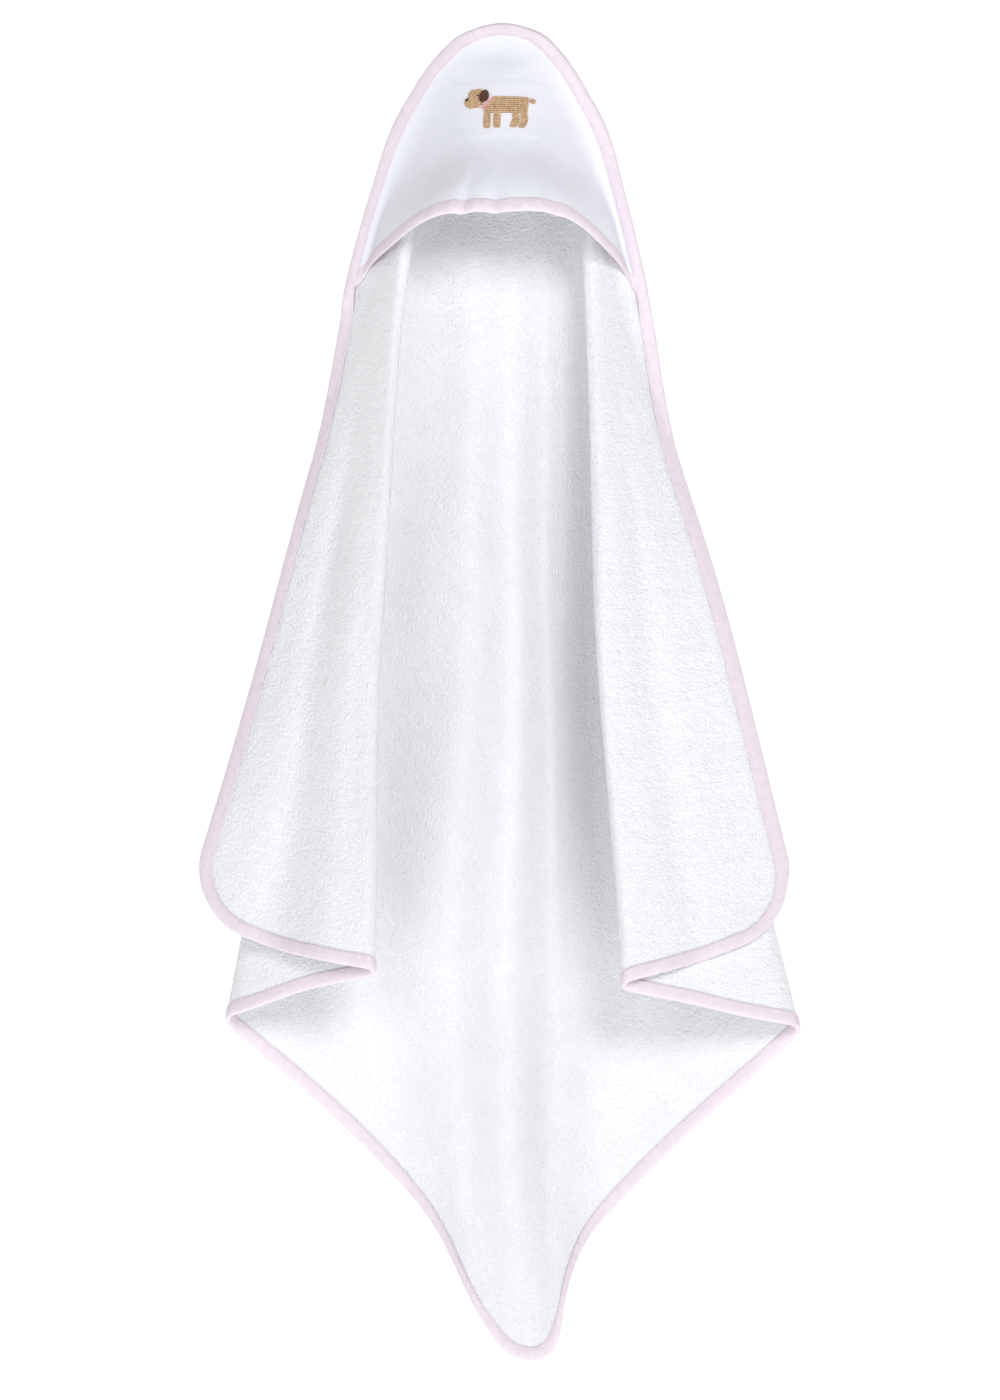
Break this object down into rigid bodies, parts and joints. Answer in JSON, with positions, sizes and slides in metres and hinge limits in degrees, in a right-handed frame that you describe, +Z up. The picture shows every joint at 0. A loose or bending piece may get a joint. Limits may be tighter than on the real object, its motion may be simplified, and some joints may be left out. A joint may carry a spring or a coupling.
{
  "type": "hooded baby towel",
  "caption": "White terry baby towel hanging by its hood, with a pink bound edge and a small embroidered puppy on the hood.",
  "frame": {"origin": "the inside of the hood's peak, where a hook holds the towel; all the cloth hangs below it", "axes": "+Z up along the hanging diagonal, +X to the viewer's right, hood opening and embroidery towards -Y"},
  "size_m": [0.4645, 0.1556, 1.0317],
  "materials": {
    "white_terry": "looped cotton terry pile",
    "white_hood_cloth": "smooth fine cotton",
    "pink_binding": "plain woven cotton tape",
    "pink_thread": "sewing thread",
    "tan_embroidery": "chain stitched cotton floss",
    "brown_embroidery": "satin stitched floss",
    "rose_embroidery": "chain stitched floss",
    "black_embroidery": "satin stitched floss",
    "white_backing": "non-woven stabiliser",
    "white_label": "blank satin tape"
  },
  "bodies": {
    "root": {"terry_body": "white_terry", "hood_panel": "white_hood_cloth", "edge_binding": "pink_binding", "hood_hem_binding": "pink_binding", "edge_stitch_needle_thread": "pink_thread", "edge_stitch_bobbin_thread": "pink_thread", "hood_hem_needle_thread": "pink_thread", "hood_hem_bobbin_thread": "pink_thread", "puppy_body_embroidery": "tan_embroidery", "puppy_ear_embroidery": "brown_embroidery", "puppy_collar_embroidery": "rose_embroidery", "puppy_nose_embroidery": "black_embroidery", "puppy_eye_embroidery": "black_embroidery", "embroidery_backing": "white_backing", "care_label": "white_label"}
  },
  "joints": []
}
